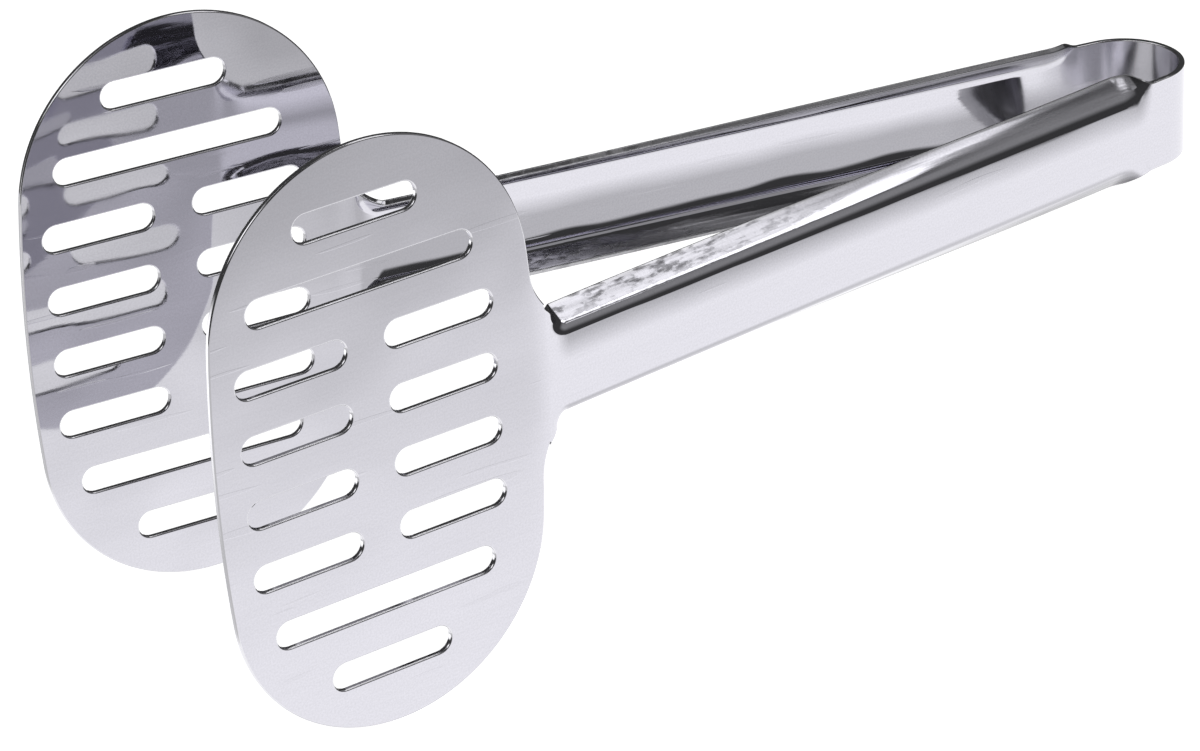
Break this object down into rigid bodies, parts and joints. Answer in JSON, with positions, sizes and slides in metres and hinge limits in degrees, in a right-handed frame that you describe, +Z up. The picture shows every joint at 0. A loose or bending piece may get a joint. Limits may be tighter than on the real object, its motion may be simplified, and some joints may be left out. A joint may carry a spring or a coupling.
{
  "type": "slotted serving tongs",
  "caption": "One-strip spring serving tongs: a round spring bow, two channel arms and two wide oval slotted plates that close face to face.",
  "frame": {"origin": "bottom centre of the bounding box, on the surface the tongs rest on", "axes": "+X from the bow to the plate tips, +Y towards the left arm, +Z up"},
  "size_m": [0.2386, 0.075, 0.112],
  "materials": {
    "polished_steel": "bright polished stainless steel sheet"
  },
  "bodies": {
    "bow": {"spring_bow": "polished_steel"},
    "left_half": {"left_arm": "polished_steel", "left_plate": "polished_steel"},
    "right_half": {"right_arm": "polished_steel", "right_plate": "polished_steel"}
  },
  "joints": [
    {"name": "left_squeeze", "type": "hinge", "parent": "bow", "child": "left_half", "pos_m": [-0.10499, 0.01157, 0.0122], "axis": [0.2319, 0, -0.9727], "range_deg": [0, 9.1], "stiffness_Nm_per_rad": 6.5},
    {"name": "right_squeeze", "type": "hinge", "parent": "bow", "child": "right_half", "pos_m": [-0.10499, -0.01161, 0.0122], "axis": [-0.2319, 0, 0.9727], "range_deg": [0, 9.1], "stiffness_Nm_per_rad": 6.5}
  ],
  "couplings": [
    {"joint": "right_squeeze", "follows": "left_squeeze", "ratio": 1}
  ]
}
